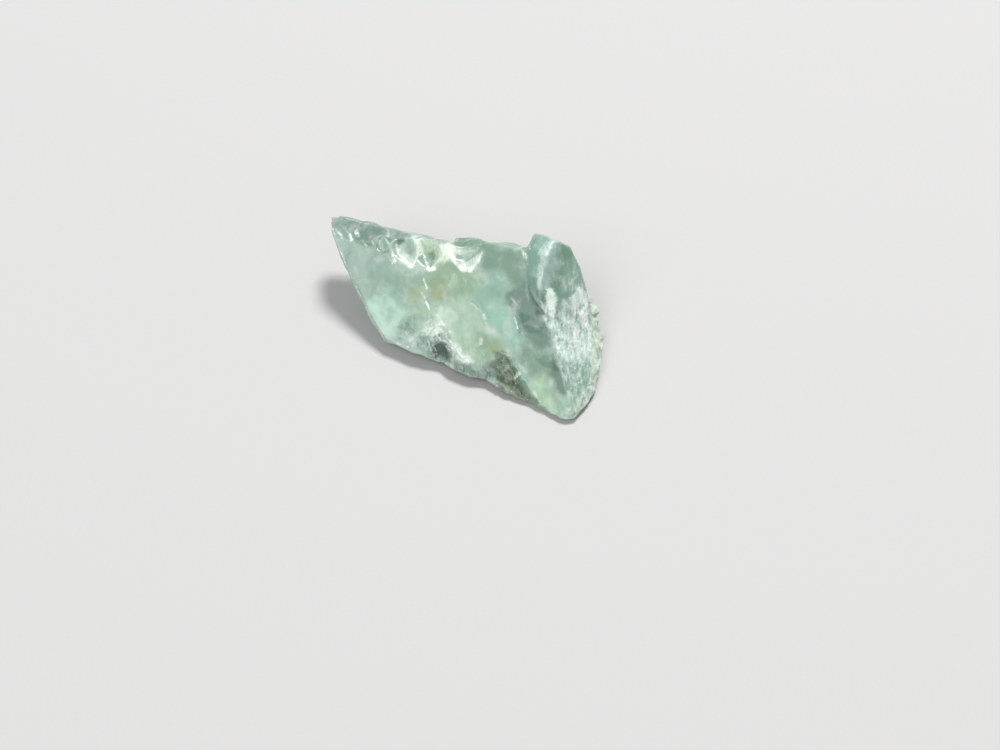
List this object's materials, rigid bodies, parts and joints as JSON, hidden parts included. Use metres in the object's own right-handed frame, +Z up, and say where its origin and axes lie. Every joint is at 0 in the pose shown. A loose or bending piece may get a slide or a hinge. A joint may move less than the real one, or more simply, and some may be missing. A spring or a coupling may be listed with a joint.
{
  "type": "fluorite specimen",
  "caption": "Broken chip of translucent pale green crystal with a glassy sloping front face, a thin pointed end and a rough granular end.",
  "frame": {"origin": "middle of the stone's bounding box in plan, on the surface that it lies on", "axes": "+X from the thin pointed end to the granular end, -Y the way the glassy front face slopes down, +Z up"},
  "size_m": [0.0274, 0.0222, 0.0096],
  "materials": {
    "fluorite": "clear to cloudy pale green crystal, glassy on its cleavage faces and frosted where it is broken"
  },
  "bodies": {
    "root": {"fluorite": "fluorite"}
  },
  "joints": []
}
